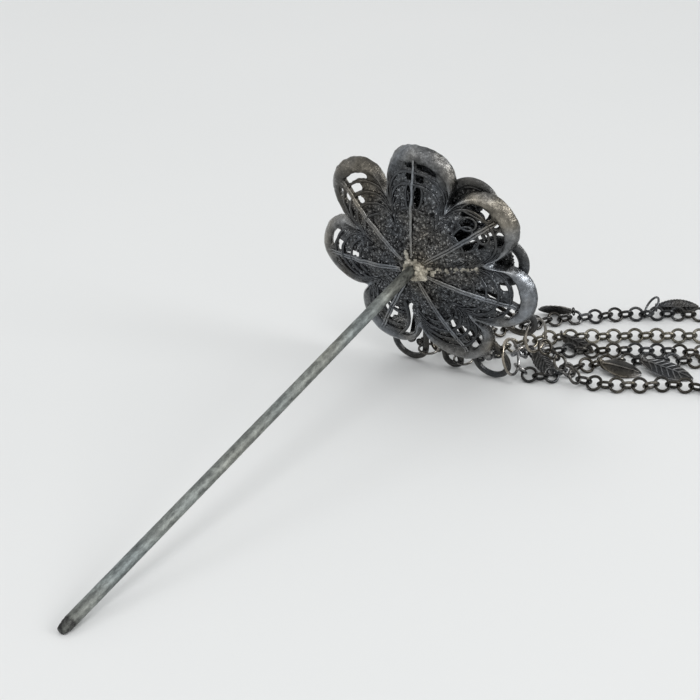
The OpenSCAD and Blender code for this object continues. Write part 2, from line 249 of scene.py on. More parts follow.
def shader(name, deep, body, bright, rough, base, spread=0.75, metal=0.94, grain=1400.0, patch=210.0,
           bump=0.00006, cool=(0.92, 0.98, 1.09), warm=(1.09, 1.0, 0.87), streaks=False, mottle=1.0):
    """deep, body and bright: the hollow's, the body's and the edge's colour; base and spread: how bright the
    metal is unworn and how much wear adds; grain, patch: scales of the noises; mottle: their strength."""
    material = bpy.data.materials.new(name)
    material.use_nodes = True
    tree = material.node_tree
    tree.nodes.clear()

    def maths(operation, a, b):
        return put(tree, "ShaderNodeMath", {"Value": a, "Value_001": b}, operation=operation)

    def around_zero(value, amount):
        return maths("MULTIPLY", maths("SUBTRACT", value, 0.5), amount)

    def on_points(layer):
        return put(tree, "ShaderNodeAttribute", output="Fac", attribute_name=layer)

    where = put(tree, "ShaderNodeTexCoord", output="Object")
    if streaks:
        # the pattern turned to lie along the rod and drawn out, as a drawn wire's marks are
        where = put(tree, "ShaderNodeMapping", {"Vector": where, "Rotation": (0, -SLOPE, 0),
                                                "Scale": (STREAK, 1, 1)}, vector_type="TEXTURE")
    worn = on_points("worn")
    patches = noise_at(tree, where, patch, 4.0)
    speckle = noise_at(tree, where, grain, 5.0, 0.7)
    pebbles = put(tree, "ShaderNodeTexVoronoi", {"Vector": where, "Scale": PEBBLE_SCALE}, "Distance")
    grit = maths("MULTIPLY", maths("SUBTRACT", PEBBLE_EDGE, pebbles), on_points("grainy"))
    wear_and_light = maths("ADD", maths("MULTIPLY", worn, spread), base)
    for part in (around_zero(patches, PATCH_SHARE * mottle), around_zero(speckle, SPECKLE_SHARE * mottle),
                 on_points("tone"), maths("MULTIPLY", grit, PEBBLE_SHARE)):
        wear_and_light = maths("ADD", wear_and_light, part)
    colour = colours_along(tree, wear_and_light, (0.0, deep), (0.5, body), (1.0, bright))
    tint = colours_along(tree, noise_at(tree, where, TINT_SCALE, 2.0), (0.38, cool), (0.62, warm))
    tinted = put(tree, "ShaderNodeMix", {"Factor_Float": 1.0, "A_Color": colour, "B_Color": tint},
                 RESULT_COLOUR, data_type="RGBA", blend_type="MULTIPLY")
    height = maths("ADD", speckle, maths("MULTIPLY", patches, 1.5))
    height = maths("ADD", height, maths("MULTIPLY", grit, 0.9))
    dents = put(tree, "ShaderNodeBump", {"Strength": remap(tree, worn, 0.15, 0.9, 1.0, 0.3),
                                         "Distance": bump, "Height": height})
    surface = put(tree, "ShaderNodeBsdfPrincipled", {
        "Metallic": metal, "Base Color": tinted, "Roughness": remap(tree, speckle, 0.3, 0.7, *rough),
        "Normal": dents})
    tree.links.new(surface, tree.nodes.new("ShaderNodeOutputMaterial").inputs["Surface"])
    return material


# %% The metals
PETAL = shader("blackened silver petal", (0.010, 0.010, 0.0098), (0.088, 0.088, 0.085), (0.38, 0.38, 0.37),
               rough=(0.12, 0.32), bump=0.0003, base=0.36, spread=0.36)
GRAIN = shader("grainy dark silver", (0.012, 0.0115, 0.011), (0.12, 0.117, 0.109), (0.42, 0.41, 0.385),
               rough=(0.12, 0.36), grain=2200.0, base=0.45)
WIRE = shader("filigree wire", (0.008, 0.008, 0.008), (0.075, 0.075, 0.073), (0.38, 0.38, 0.37),
              rough=(0.12, 0.3), grain=2600.0, base=0.2)
ROD = shader("worn rod", (0.016, 0.016, 0.017), (0.155, 0.165, 0.158), (0.37, 0.39, 0.375),
             rough=(0.5, 0.75), grain=2600.0, patch=700.0, base=0.08,
             cool=(0.94, 1.0, 1.04), warm=(1.03, 1.0, 0.93), spread=0.5, streaks=True, mottle=1.9, metal=0.6)
SOLDER = shader("pale solder", (0.03, 0.028, 0.025), (0.29, 0.278, 0.245), (0.90, 0.88, 0.82),
                rough=(0.3, 0.7), grain=3000.0, patch=900.0, base=0.22, metal=0.6, bump=0.0003, mottle=1.8,
                cool=(1.0, 1.0, 1.0), warm=(1.05, 1.0, 0.9))
CHAIN = shader("chain silver", (0.006, 0.0058, 0.0055), (0.042, 0.041, 0.0385), (0.40, 0.39, 0.37),
               rough=(0.14, 0.32), grain=1800.0, base=0.24)
BRASSY = shader("brassy chain", (0.014, 0.013, 0.0105), (0.10, 0.096, 0.082), (0.44, 0.42, 0.37),
                rough=(0.14, 0.32), grain=1800.0, base=0.28,
                cool=(1.0, 1.0, 1.0), warm=(1.05, 1.0, 0.92))
LEAF = shader("leaf silver", (0.006, 0.006, 0.0057), (0.042, 0.041, 0.039), (0.26, 0.25, 0.235),
              rough=(0.2, 0.45), grain=1800.0, base=0.14, bump=0.0001)
print("materials:", len(bpy.data.materials))

# %% [markdown]
# ## Tools for wire work
# Filigree repeats a few moves: a wire follows a line, grains cover a sheet, links repeat along a run.
# Each move is one Geometry Nodes tree with named inputs. The drawing of a wire is only a row of joined
# points; the tree turns it into round wire, and a `thick` value on the points makes it swell or taper.

# %% Geometry Nodes helpers
def new_tree(name, **inputs):
    """A tree with named inputs, and the sockets that bring them in."""
    tree = bpy.data.node_groups.new(name, "GeometryNodeTree")
    tree.interface.new_socket(name="Geometry", in_out="INPUT", socket_type="NodeSocketGeometry")
    for label, kind in inputs.items():
        tree.interface.new_socket(name=label, in_out="INPUT", socket_type="NodeSocket" + kind)
    tree.interface.new_socket(name="Geometry", in_out="OUTPUT", socket_type="NodeSocketGeometry")
    return tree, tree.nodes.new("NodeGroupInput").outputs


def finish_tree(tree, geometry, metal):
    real = put(tree, "GeometryNodeRealizeInstances", {"Geometry": geometry})
    soft = put(tree, "GeometryNodeSetShadeSmooth", {"Geometry": real})
    dressed = put(tree, "GeometryNodeSetMaterial", {"Geometry": soft, "Material": metal})
    tree.links.new(dressed, tree.nodes.new("NodeGroupOutput").inputs[0])


def point_value(tree, layer, kind="FLOAT"):
    return put(tree, "GeometryNodeInputNamedAttribute", {"Name": layer}, data_type=kind)


def round_wire(tree, line, radius, sides, **more):
    section = put(tree, "GeometryNodeCurvePrimitiveCircle", {"Resolution": sides, "Radius": radius})
    return put(tree, "GeometryNodeCurveToMesh", {"Curve": line, "Profile Curve": section, **more})


def place_on(tree, points, thing, metal, **how):
    put_down = put(tree, "GeometryNodeInstanceOnPoints", {"Points": points, "Instance": thing, **how})
    finish_tree(tree, put_down, metal)


def grow(obj, tree, **values):
    modifier = obj.modifiers.new(tree.name, "NODES")
    modifier.node_group = tree
    for item in tree.interface.items_tree:
        if item.in_out == "INPUT" and item.name in values:
            modifier[item.identifier] = values[item.name]
    return settle(obj)


# %% The wire tree
WIRE_TREE, given = new_tree("round wire along a line", Radius="Float", Sides="Int", Metal="Material")
line = put(WIRE_TREE, "GeometryNodeMeshToCurve", {"Mesh": given["Geometry"]})
tube = round_wire(WIRE_TREE, line, given["Radius"], given["Sides"],
                  **{"Scale": point_value(WIRE_TREE, "thick"), "Fill Caps": True})
finish_tree(WIRE_TREE, tube, given["Metal"])


def wires(name, lines, radius, metal, sides=8, worn=0.6):
    """lines: (points, closed, thickness along it); thickness is a number or one value a point."""
    points, edges, swell = [], [], []
    for row, closed, thickness in lines:
        row = np.asarray(row, float)
        n, first = len(row), len(points)
        points.extend(row)
        swell.extend(np.broadcast_to(thickness, n))
        edges.extend((first + i, first + i + 1) for i in range(n - 1))
        if closed:
            edges.append((first + n - 1, first))
    obj = add_mesh(name, points, edges=edges, thick=swell, worn=worn)
    return grow(obj, WIRE_TREE, Radius=radius * MM, Sides=sides, Metal=metal)


# %% The bead tree
BEAD_TREE, given = new_tree("beads on points", Radius="Float", Detail="Int", Metal="Material")
ball = put(BEAD_TREE, "GeometryNodeMeshIcoSphere",
           {"Radius": given["Radius"], "Subdivisions": given["Detail"]})
dots = put(BEAD_TREE, "GeometryNodeMeshToPoints", {"Mesh": given["Geometry"]})
place_on(BEAD_TREE, dots, ball, given["Metal"], Scale=point_value(BEAD_TREE, "size"))


def beads_at(name, points, radii, metal, detail, worn):
    obj = add_mesh(name, points, size=radii, worn=worn)
    return grow(obj, BEAD_TREE, Radius=MM, Detail=detail, Metal=metal)


print("trees:", [t.name for t in bpy.data.node_groups])

# %% [markdown]
# ## The back tier
# Seven petals are raised from one pierced sheet. Each is a long drop: a crease runs between neighbours, a
# midrib up the middle, windows are cut in rings round the end, and a broad puffed rim closes it. A grid
# that fans out from the hub fits this: its rows are the same drop outline at growing shares of its size,
# its columns follow the rounded end. Leaving cells out makes the windows, and subdivision rounds it all.

# %% The petals' numbers
def table(columns, *rows):
    """Rows of numbers with named columns; middle is where the centre of the round end lies."""
    named = [dict(zip(columns.split(), row)) for row in rows]
    return [{**row, "middle": row["reach"] - row["end_r"]} for row in named]


# angle round the rod, reach of the tip, radius of the end, bow of the midrib, slope of the next crease
BACK = table(
    "angle reach end_r bow crease",
    (-2.5, 22.8, 6.8, 0.0079, 0.208), (49, 22.9, 6.5, 0.0101, 0.206), (98, 23.1, 6.6, 0.0105, 0.141),
    (148.8, 23.1, 6.8, 0.0092, 0.065), (202.5, 22.6, 6.7, 0.0095, 0.081),
    (251.8, 22.5, 6.3, 0.0102, 0.219), (304.6, 21.8, 6.6, 0.012, 0.203))
HUB = 3.2
# fall of the midrib from the hub, bow of the creases, and how sharply the petal rises between them
FALL, CREASE_BOW, RISE = 0.051, 0.0107, 1.46
# share of the way out, lift, thickness, wear, graininess
ROWS = [
    (0.07, 0, 0.95, 0.1, 0.6), (0.15, 0, 0.9, 0.1, 1), (0.24, 0, 0.8, 0.12, 1), (0.33, 0, 0.75, 0.15, 1),
    (0.44, 0, 0.7, 0.16, 1), (0.52, 0, 0.7, 0.2, 1), (0.55, 0, 0.7, 0.25, 1), (0.62, 0, 0.7, 0.22, 0.9),
    (0.65, 0, 0.7, 0.28, 0.8), (0.715, 0, 0.7, 0.25, 0.7), (0.745, 0, 0.7, 0.32, 0.5),
    (0.81, 0, 0.7, 0.3, 0.4), (0.835, 0.03, 0.8, 0.35, 0.2), (0.888, 0.16, 1.0, 0.4, 0),
    (0.906, 0.45, 1.45, 0.6, 0), (0.936, 0.76, 1.95, 0.9, 0), (0.966, 0.62, 1.9, 1.0, 0),
    (0.991, 0.14, 1.5, 0.85, 0), (1.006, -0.45, 0.7, 0.6, 0)]
# the columns of half a petal: degrees round its end from the midrib, with one more in the crease
HALF = [4, 10, 20, 30, 40, 50, 60, 70, 80, 91]
# how bright each petal's rim is kept: below one it is painted shade, darker rims on the first three petals,
# where less light falls on them
PAINTED_RIM_LIGHT = [0.75, 0.52, 0.93, 1.0, 1.0, 1.0, 1.0]
# the windows cut in each petal, first on its right, then on its left: from which row to which, and from
# which column to which, counted from the midrib; the last column stays
WINDOWS = [
    ([(6, 8, 0, 2), (10, 10, 0, 2), (12, 12, 0, 4)],
     [(6, 7, 0, 1), (8, 8, 0, 2), (10, 10, 0, 2), (12, 12, 0, 2)]),
    ([(8, 8, 0, 2), (10, 10, 0, 3), (12, 12, 0, 5)], [(10, 10, 1, 3), (12, 12, 2, 4)]),
    ([(6, 7, 0, 2), (8, 8, 0, 1), (10, 10, 0, 3), (12, 12, 1, 5)], [(12, 12, 2, 4)]),
    ([(5, 7, 0, 2)],
     [(4, 5, 5, 8), (5, 7, 0, 2), (6, 9, 6, 8), (8, 8, 0, 1), (9, 9, 3, 4), (10, 10, 5, 8), (11, 12, 4, 8)]),
    ([], [(6, 6, 0, 3), (8, 8, 1, 4), (10, 10, 1, 5), (11, 11, 3, 5), (12, 12, 1, 6)]),
    ([(10, 10, 0, 3), (12, 12, 0, 4)],
     [(6, 6, 0, 2), (7, 7, 1, 2), (8, 8, 0, 2), (10, 10, 3, 5), (12, 12, 0, 6)]),
    ([(5, 6, 0, 3), (7, 7, 0, 2), (8, 8, 0, 4), (10, 10, 1, 3), (11, 12, 2, 5), (12, 12, 0, 1)],
     [(5, 7, 0, 3), (8, 9, 1, 4), (10, 10, 0, 2), (10, 10, 3, 6), (11, 12, 1, 6)])]


def side_angle(p):
    return math.degrees(math.asin(p["end_r"] / p["middle"]))


def back_height(k, x, y):
    p = BACK[k]
    crease = np.where(y < 0, BACK[k - 1]["crease"], p["crease"])
    r = np.maximum(0, np.hypot(x, y) - HUB)
    side = np.minimum(1, np.abs(np.degrees(np.arctan2(y, x))) / side_angle(p)) ** RISE
    return -(FALL * r + p["bow"] * r * r) * (1 - side) - (crease * r + CREASE_BOW * r * r) * side


def on_petal(k, turn, share, lift=0.0):
    """A point on petal k in the flower's frame: its turn round the end and its share of the way out."""
    p, t = BACK[k], np.radians(turn)
    x, y = (p["middle"] + p["end_r"] * np.cos(t)) * share, p["end_r"] * np.sin(t) * share
    return np.stack([*turn_flat(x, y, p["angle"]), back_height(k, x, y) + lift], -1)


def back_point(*where):
    return flower(on_petal(*where))


# %% The pierced sheet
def cut_away(k, column, row):
    half = len(HALF) + 1
    left = column >= half
    side = column - half if left else half - 2 - column
    return column != half - 1 and any(
        low <= row <= high and first <= side < last for low, high, first, last in WINDOWS[k][left])


def back_cage():
    points, values, index, faces, columns = [], [], {}, [], []
    for k, p in enumerate(BACK):
        turns = HALF + [90 + side_angle(p)]
        columns += [(k, -t) for t in reversed(turns)] + [(k, t) for t in turns]
    per, count = 2 * (len(HALF) + 1), len(columns)
    for c, (k, turn) in enumerate(columns):
        for r, (share, lift, thickness, wear_and_light, grain) in enumerate(ROWS):
            top = on_petal(k, turn, share, lift)
            for side in (0, 1):
                index[c, r, side] = len(points)
                points.append(top - (0, 0, side * thickness))
                # the row's wear, times the petal's rim factor on the rim rows: painted shade on the first
                # three rims
                values.append((wear_and_light * (PAINTED_RIM_LIGHT[k] if lift else 1), grain,
                               # third value: a painted patch of light, lifting the hollow near the hub of
                               # the first and last petals
                               0.1 if k in (0, 6) and share < 0.5 else 0.0))
    solid = {(c, r): not (c % per < per - 1 and cut_away(columns[c][0], c % per, r))
             for c in range(count) for r in range(len(ROWS) - 1)}
    for c, r in (cell for cell, here in solid.items() if here):
        d = (c + 1) % count
        corners = [(c, r), (d, r), (d, r + 1), (c, r + 1)]
        top, low = ([index[corner + (side,)] for corner in corners] for side in (0, 1))
        faces += [top[::-1], [low[1], low[2], low[3], low[0]]]
        # a wall wherever the cell beyond a side is cut away, but none at the hub
        for i, beyond in ((2, (c, r + 1)), (0, (c, r - 1)), (1, (d, r)), (3, ((c - 1) % count, r))):
            if not solid.get(beyond, beyond[1] < 0):
                j = (i + 1) % 4
                faces.append([top[j], top[i], low[i], low[j]])
    hub = len(points)
    points += [(0, 0, 0), (0, 0, -0.95)]
    # the hub's two points: dark, half grainy, and a little of the same painted light
    values += [(0.1, 0.5, 0.05)] * 2
    for c in range(count):
        d = (c + 1) % count
        faces += [[hub, index[c, 0, 0], index[d, 0, 0]], [hub + 1, index[d, 0, 1], index[c, 0, 1]]]
    worn, grainy, tone = zip(*values)
    return add_mesh("back_tier", flower(points), faces, worn=worn, grainy=grainy, tone=tone)


sheet = back_cage()
print("open edges in the cage:", dress(sheet, PETAL), "faces:", len(sheet.data.polygons))
rounding = sheet.modifiers.new("round", "SUBSURF")
rounding.levels = rounding.render_levels = 2
settle(sheet)

# %% [markdown]
# ## Beaten and burnt
# The sheet was heated until it wrinkled, mostly in the hollow of the flower, and the rims were rubbed
# smooth again. Moving each point a little along its normal, more in the hollow than on the rim, gives
# that unevenness as real shape, so it shows in the outline and in the light.

# %% Uneven sheet
# the second wave's size beside the first
FINER = 0.45


def roughen(obj, deep, shallow, size, seed=0.0, shade=0.0):
    """Moves points up to deep where the wear value is lowest and shallow where it is highest, in waves of
    this size (mm).
    """
    mesh = obj.data
    n = len(mesh.vertices)
    co, normal, wear_and_light = np.empty(n * 3), np.empty(n * 3), np.empty(n)
    mesh.vertices.foreach_get("co", co)
    mesh.vertices.foreach_get("normal", normal)
    mesh.attributes["worn"].data.foreach_get("value", wear_and_light)
    co, normal = co.reshape(-1, 3), normal.reshape(-1, 3)
    wave = np.array([noise.noise(Vector(p) / (size * MM) + Vector((seed, 3.1, 7.7))) * 0.65
                     + noise.noise(Vector(p) / (size * FINER * MM) + Vector((seed, 9.2, 1.3))) * 0.35
                     for p in co])
    amount = deep + (shallow - deep) * np.clip((wear_and_light - 0.2) / 0.6, 0, 1)
    co += normal * (wave * amount * MM)[:, None]
    mesh.vertices.foreach_set("co", co.ravel())
    mesh.attributes["worn"].data.foreach_set("value", np.clip(wear_and_light + shade * wave, 0, 1))
    mesh.update()


roughen(sheet, deep=0.3, shallow=0.05, size=1.3, shade=0.35)
print("the sheet has", triangles(sheet), "triangles")

# %% [markdown]
# ## Wires over the sheet
# Twin wires form each midrib, and single wires run in drops round the end of each petal. Where the photo
# shows single windows with a wire of their own, an oval of wire goes round them. All follow the sheet, so
# their lines come from the same petal formula, lifted until they sit half sunk in it, as if soldered.

# %% Midribs and drop-shaped wires
RIB_APART, RIB_LIFT, WIRE_LIFT = 0.24, 0.16, 0.1
RIB_WIRE, TOP_RIB_WIRE, DROP_WIRE, FINE_WIRE = 0.25, 0.27, 0.29, 0.19


def midrib(k, offset, last=0.885):
    p = BACK[k]
    shares = np.linspace(0.11, last, 40)
    x = shares * p["reach"]
    stray = np.array([0.16 * waver(v * 0.45, k * 3.3, 1.0) for v in x])
    y = offset * np.sin(np.clip((shares - 0.05) / 0.2, 0, 1) * math.pi / 2) + stray
    z = back_height(k, x, y) + RIB_LIFT + 0.5 * stray + np.clip((shares - 0.86) / 0.04, 0, 1) * 0.5
    x, y = turn_flat(x, y, p["angle"])
    taper = 0.7 + 0.3 * np.sin(np.linspace(0, math.pi, 40)) + stray
    return flower(np.stack([x, y, z], -1)), False, taper


def drop_wire(k, share, right, left):
    turns = np.linspace(-right, left, 48)
    stray = np.array([waver(t * 0.06, k * 2.7, share * 40) for t in turns])
    taper = np.clip(np.sin(np.linspace(0.12, math.pi - 0.12, 48)) * 1.7, 0.35, 1) * (1 + 0.35 * stray)
    return back_point(k, turns, share + 0.006 * stray, WIRE_LIFT + 0.1 * stray), False, taper


# rows of drops, and how far round the end each reaches in degrees; these few stay out
DROP_ROWS = ((0.535, 52), (0.635, 84), (0.73, 96), (0.823, 102))
NO_DROP = ((0, 0.635), (6, 0.635), (6, 0.73))
ribs, rounds, fine = [], [], []
for k in range(7):
    # the fourth petal's tall window takes the place of its left wires
    tall = k == 3
    if k:
        ribs += [midrib(k, RIB_APART), midrib(k, -RIB_APART)]
    for share, reach in DROP_ROWS:
        if (k, share) not in NO_DROP:
            left = reach if not tall else -2 if share == 0.635 else 46
            rounds.append(drop_wire(k, share, reach, left))
    for share in (0.585, 0.682, 0.778, 0.862):
        for side in (-1,) if tall else (-1, 1):
            turns = np.linspace(side * 66, side * 106, 18)
            fine.append((back_point(k, turns, share, 0.08), False, 0.85))
# ovals of wire round single windows: petal, share, turn, and half the size in each
OVALS = [
    (0, 0.633, -13.5, 0.10, 11.5), (0, 0.633, 9.5, 0.10, 8.5), (6, 0.605, 17, 0.095, 18),
    (6, 0.595, -16, 0.09, 17), (6, 0.71, 31, 0.06, 19), (6, 0.855, 37, 0.06, 31),
    (6, 0.735, -14, 0.045, 15), (6, 0.86, -35, 0.045, 19)]
a = all_round(28)
for k, share, middle, high, wide in OVALS:
    rounds.append((back_point(k, middle + wide * np.sin(a), share + high * np.cos(a), WIRE_LIFT), True, 0.8))
# the tall window has a wire along its inner side: a smooth curve through these shares and turns
INNER_SIDE = np.array([
    (0.40, 36), (0.44, 48), (0.52, 56), (0.62, 60), (0.70, 60), (0.77, 53), (0.83, 43), (0.89, 36)])
even = np.linspace(0, 1, len(INNER_SIDE))
shares, turns = (np.polyval(np.polyfit(even, column, 4), np.linspace(0, 1, 40)) for column in INNER_SIDE.T)
rounds.append((back_point(3, turns, shares, 0.02), False, 1.25))
midribs = wires("midribs", ribs, RIB_WIRE, WIRE, worn=0.65)
top_rib = wires("top_rib", [midrib(0, 0.0, 0.93)], TOP_RIB_WIRE, WIRE, sides=10, worn=0.75)
drops = wires("drops", rounds, DROP_WIRE, WIRE, worn=0.3)
side_drops = wires("side_drops", fine, FINE_WIRE, WIRE, sides=6, worn=0.3)
print("wires on the back:", triangles(midribs) + triangles(drops), "triangles")

# %% [markdown]
# ## Granulation
# The hollow of the flower is covered with tiny melted grains. Scattering points over the sheet and
# putting a small flattened ball on each gives real bumps that catch the light. The `grainy` value keeps
# them off the smooth rims, and a fixed seed puts every grain in the same place each time.

# %% The grain tree
GRAIN_TREE, given = new_tree("grains on a sheet", Spacing="Float", Density="Float", Radius="Float",
                             Seed="Int", Metal="Material")
spots = put(GRAIN_TREE, "GeometryNodeDistributePointsOnFaces", {
    "Mesh": given["Geometry"], "Distance Min": given["Spacing"], "Density Max": given["Density"],
    "Density Factor": point_value(GRAIN_TREE, "grainy"), "Seed": given["Seed"]}, distribute_method="POISSON")
pebble = put(GRAIN_TREE, "GeometryNodeMeshIcoSphere", {"Radius": given["Radius"], "Subdivisions": 1})
flat = put(GRAIN_TREE, "GeometryNodeTransform", {"Geometry": pebble, "Scale": (1.0, 1.0, 0.62)})
# the node's second output is the one for plain numbers
spread = put(GRAIN_TREE, "FunctionNodeRandomValue",
             {"Min_001": 0.45, "Max_001": 1.35, "Seed": given["Seed"]}, 1, data_type="FLOAT")
place_on(GRAIN_TREE, spots, flat, given["Metal"], Rotation=spots.node.outputs["Rotation"], Scale=spread)

carrier = placed("petal_grains", sheet.data.copy())
grow(carrier, GRAIN_TREE, Spacing=0.34 * MM, Density=4.6e6, Radius=0.2 * MM, Seed=7, Metal=GRAIN)
carrier.data.name = "petal_grains"
print("grains:", triangles(carrier) // 20, "with", triangles(carrier), "triangles")

# %% Hand over the back tier
back = sheet
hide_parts("back_petals")
back_wires = join("back_wires", [midribs, top_rib, drops, side_drops])
for piece in (back, back_wires, carrier):
    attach(piece, "root")
print("back tier:", triangles(back), triangles(back_wires), triangles(carrier))

# %% [markdown]
# ## The front tier's loops
# Behind the seven petals hang eleven open loops, and some of them show below the flower. Each is a frame
# of thick wire bent to a drop, with a thinner wire inside it, a double stem, two scrolls and a ball. A
# loop is flat, so it is drawn in its own plane and then swung out to its place round the rod.

# %% Loop numbers and frame
# angle round the rod, reach, radius of the round end, drop of the end below the root, width of the
# frame, reach of the web
FRONT = table(
    "angle reach end_r drop band web",
    (359, 19.6, 4.4, 2.28, 1.9, 18.6),
    *((angle, 15.5, 3.2, 1.7, 1.4, 14.6) for angle in (33, 67.4, 101.8, 135.8)),
    (162.9, 27.14, 3.9, 1.86, 0.9, 13), (184.7, 26.36, 2.2, 2.41, 0.9, 13),
    (205.1, 28.59, 3.9, 2.41, 0.9, 13), (234.5, 24.3, 3.4, 3.3, 0.9, 13),
    (274.6, 20.3, 5.3, 2.5, 1.9, 17.2), (319.8, 20.95, 5.5, 2.45, 1.9, 20.5))
ROOT_R, ROOT_Z = 3.5, -4.8
# openings in a web: from and to along the loop, from and to across it
HOLES = {11: (13.7, 17.6, -4.6, -1.7)}
BAND_HALF, WEB_THICK, LOOP_WIRE, INNER_WIRE = 0.52, 0.48, 0.52, 0.25


def loop_frame(p, flat_points, depth=0.0):
    """From a loop's own plane to the table's frame; depth is the distance off that plane."""
    q = np.asarray(flat_points, float)
    tilt = math.atan2(p["drop"], p["reach"] - ROOT_R)
    u = q[..., 0] - ROOT_R
    x = u * math.cos(tilt) + depth * math.sin(tilt) + ROOT_R
    z = -u * math.sin(tilt) + depth * math.cos(tilt) + ROOT_Z
    x, y = turn_flat(x, q[..., 1], p["angle"])
    return flower(np.stack([x, y, z], -1))


def drop_line(end_r, middle, steps=36):
    side = math.asin(end_r / middle)
    turn = np.linspace(math.pi / 2 + side, -math.pi / 2 - side, steps)
    arc = np.stack([middle + end_r * np.cos(turn), end_r * np.sin(turn)], -1)
    length = math.hypot(*arc[0])
    legs = np.linspace(ROOT_R - 0.1, length, 12, endpoint=False)[:, None] * (arc[0] / length)
    return np.concatenate([legs, arc, (legs * [1, -1])[::-1]])


def spiral(x, y, start_r, end_r, turns, way):
    t = np.linspace(0, 1, 40)
    r = start_r + (end_r - start_r) * t
    a = math.pi + way * t * turns * 2 * math.pi
    return np.stack([x + r * np.cos(a), y + r * np.sin(a)], -1)


# %% The band and the web of a petal
def puffed_band(name, p):
    """A closed band that follows the drop: its section is a flat oval as wide as the frame."""
    outer = drop_line(p["end_r"] - 0.06, p["middle"], 44)
    inner = drop_line(p["end_r"] - p["band"] + 0.06, p["middle"], 44)
    middle, half = (outer + inner) / 2, (outer - inner) / 2
    ring = all_round(14)
    points = np.concatenate([loop_frame(p, m + h * np.cos(ring)[:, None], np.sin(ring) * BAND_HALF)
                             for m, h in zip(middle, half)])
    n, k = len(middle), len(ring)
    faces = grid_faces(n, k, closed=True) + [list(range(k))[::-1], [(n - 1) * k + b for b in range(k)]]
    band = add_mesh(name, points, faces, worn=0.3)
    dress(band, PETAL)
    roughen(band, deep=0.05, shallow=0.05, size=1.3, seed=5.0)
    return band


def web(number, p):
    """A dark sheet that fills the root of a petal, painted shade standing in for the dark between the tiers,
    and the grains on it.
    """
    edge = drop_line(p["end_r"] - 0.3, p["middle"], 44)
    border = edge * np.minimum(1, p["web"] / np.hypot(edge[:, 0], edge[:, 1]))[:, None]
    half = len(border) // 2
    across = np.linspace(0, 1, 19)
    grid = np.array([l + (r - l) * t for l, r in zip(border[:half], border[::-1][:half]) for t in across])
    faces = grid_faces(half, len(across))
    if number in HOLES:
        x0, x1, y0, y1 = HOLES[number]
        faces = [f for f in faces
                 if not (x0 < grid[f][:, 0].mean() < x1 and y0 < grid[f][:, 1].mean() < y1)]
    # the sheet is kept dark as painted shade: the space between the two tiers lies in shadow
    sheet = add_mesh(f"web_{number}", loop_frame(p, grid), faces, worn=0.1, grainy=1.0)
    thicken = sheet.modifiers.new("thicken", "SOLIDIFY")
    thicken.thickness, thicken.offset = WEB_THICK * MM, 0.0
    settle(sheet)
    dress(sheet, PETAL)
    grit = placed(f"web_{number}_grains", sheet.data.copy())
    grow(grit, GRAIN_TREE, Spacing=0.4 * MM, Density=3.4e6, Radius=0.22 * MM, Seed=11, Metal=GRAIN)
    return [sheet, grit]


# %% Bend the loops
loop_tris = 0
for number, p in enumerate(FRONT, 1):
    middle = p["middle"]
    inner = p["end_r"] - p["band"]
    scroll_r = 0.3 * p["end_r"]
    scroll_x, scroll_y = middle - 1.2, inner - scroll_r + 0.15
    bead_r = inner - 2 * scroll_r + 0.35
    lines = [(loop_frame(p, drop_line(inner + 0.04, middle), d), False, 1.0) for d in (-0.16, 0.18)]
    reach = np.linspace(ROOT_R - 0.1, scroll_x - bead_r * 0.7, 16)
    spots, sizes = [loop_frame(p, [scroll_x, 0])], [max(0.4, bead_r * 0.96)]
    for side in (-1, 1):
        stem = np.stack([reach, side * 0.2 * np.ones_like(reach)], -1)
        lines.append((loop_frame(p, stem), False, 1.1))
        curl = spiral(scroll_x, side * scroll_y, scroll_r - 0.05, end_r=0.12, turns=1.6, way=-side)
        lines.append((loop_frame(p, curl), False, np.linspace(1.15, 0.8, len(curl))))
        spots.append(loop_frame(p, [scroll_x, side * scroll_y], 0.1))
        sizes.append(0.34)
    if p["band"] > 1:
        frame_wire = puffed_band(f"loop_{number}", p)
    else:
        frame_line = loop_frame(p, drop_line(p["end_r"] - 0.44, middle))
        frame_wire = wires(f"loop_{number}", [(frame_line, False, 1.0)], LOOP_WIRE, WIRE, sides=10, worn=0.3)
    inner_wire = wires(f"inner_{number}", lines, INNER_WIRE, WIRE, sides=6, worn=0.1)
    balls = beads_at(f"balls_{number}", spots, sizes, GRAIN, detail=3, worn=0.2)
    loop = join(f"front_loop_{number}", [frame_wire, inner_wire, balls] + web(number, p))
    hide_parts(f"front_petal_{number}")
    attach(loop, "root")
    loop_tris += triangles(loop)
print("loops:", loop_tris, "triangles")

# %% [markdown]
# ## The boss in the middle of the front
# A short stem carries a dish and a dome, and holds the loops' roots. The photo shows only its back, so
# the front is finished as such hairpins mostly are: a plain dome, a ring of grains and a twisted wire
# round the edge. A turned profile gives the metal body, and two helices give the rope.

# %% Turn the boss
def lathe(profile, sides):
    """Turns (radius, z) pairs round the rod's axis and closes both ends."""
    a = all_round(sides)
    ends = [(0, 0, profile[0][1]), (0, 0, profile[-1][1])]
    points = np.concatenate([hoop(r, a, z) for r, z in profile] + [ends])
    faces = grid_faces(len(profile), sides, closed=True)
    end = len(profile) * sides
    for j in range(sides):
        k = (j + 1) % sides
        faces += [[end, k, j], [end + 1, end - sides + j, end - sides + k]]
    return flower(points), faces


dome = [(4.14 * math.cos(t) ** 0.9, -6.95 - 2.5 * math.sin(t)) for t in np.linspace(0, 1.5, 14)]
boss_body = add_mesh("boss_body", *lathe([
    (3.0, -1.3), (3.25, -1.5), (3.3, -2.5), (3.3, -5.6), (3.5, -5.95), (4.9, -6.12), (5.15, -6.3),
    (5.2, -6.5), (5.15, -6.72), (4.95, -6.88), (4.3, -6.95)] + dome, 64), worn=0.4)
dress(boss_body, PETAL)


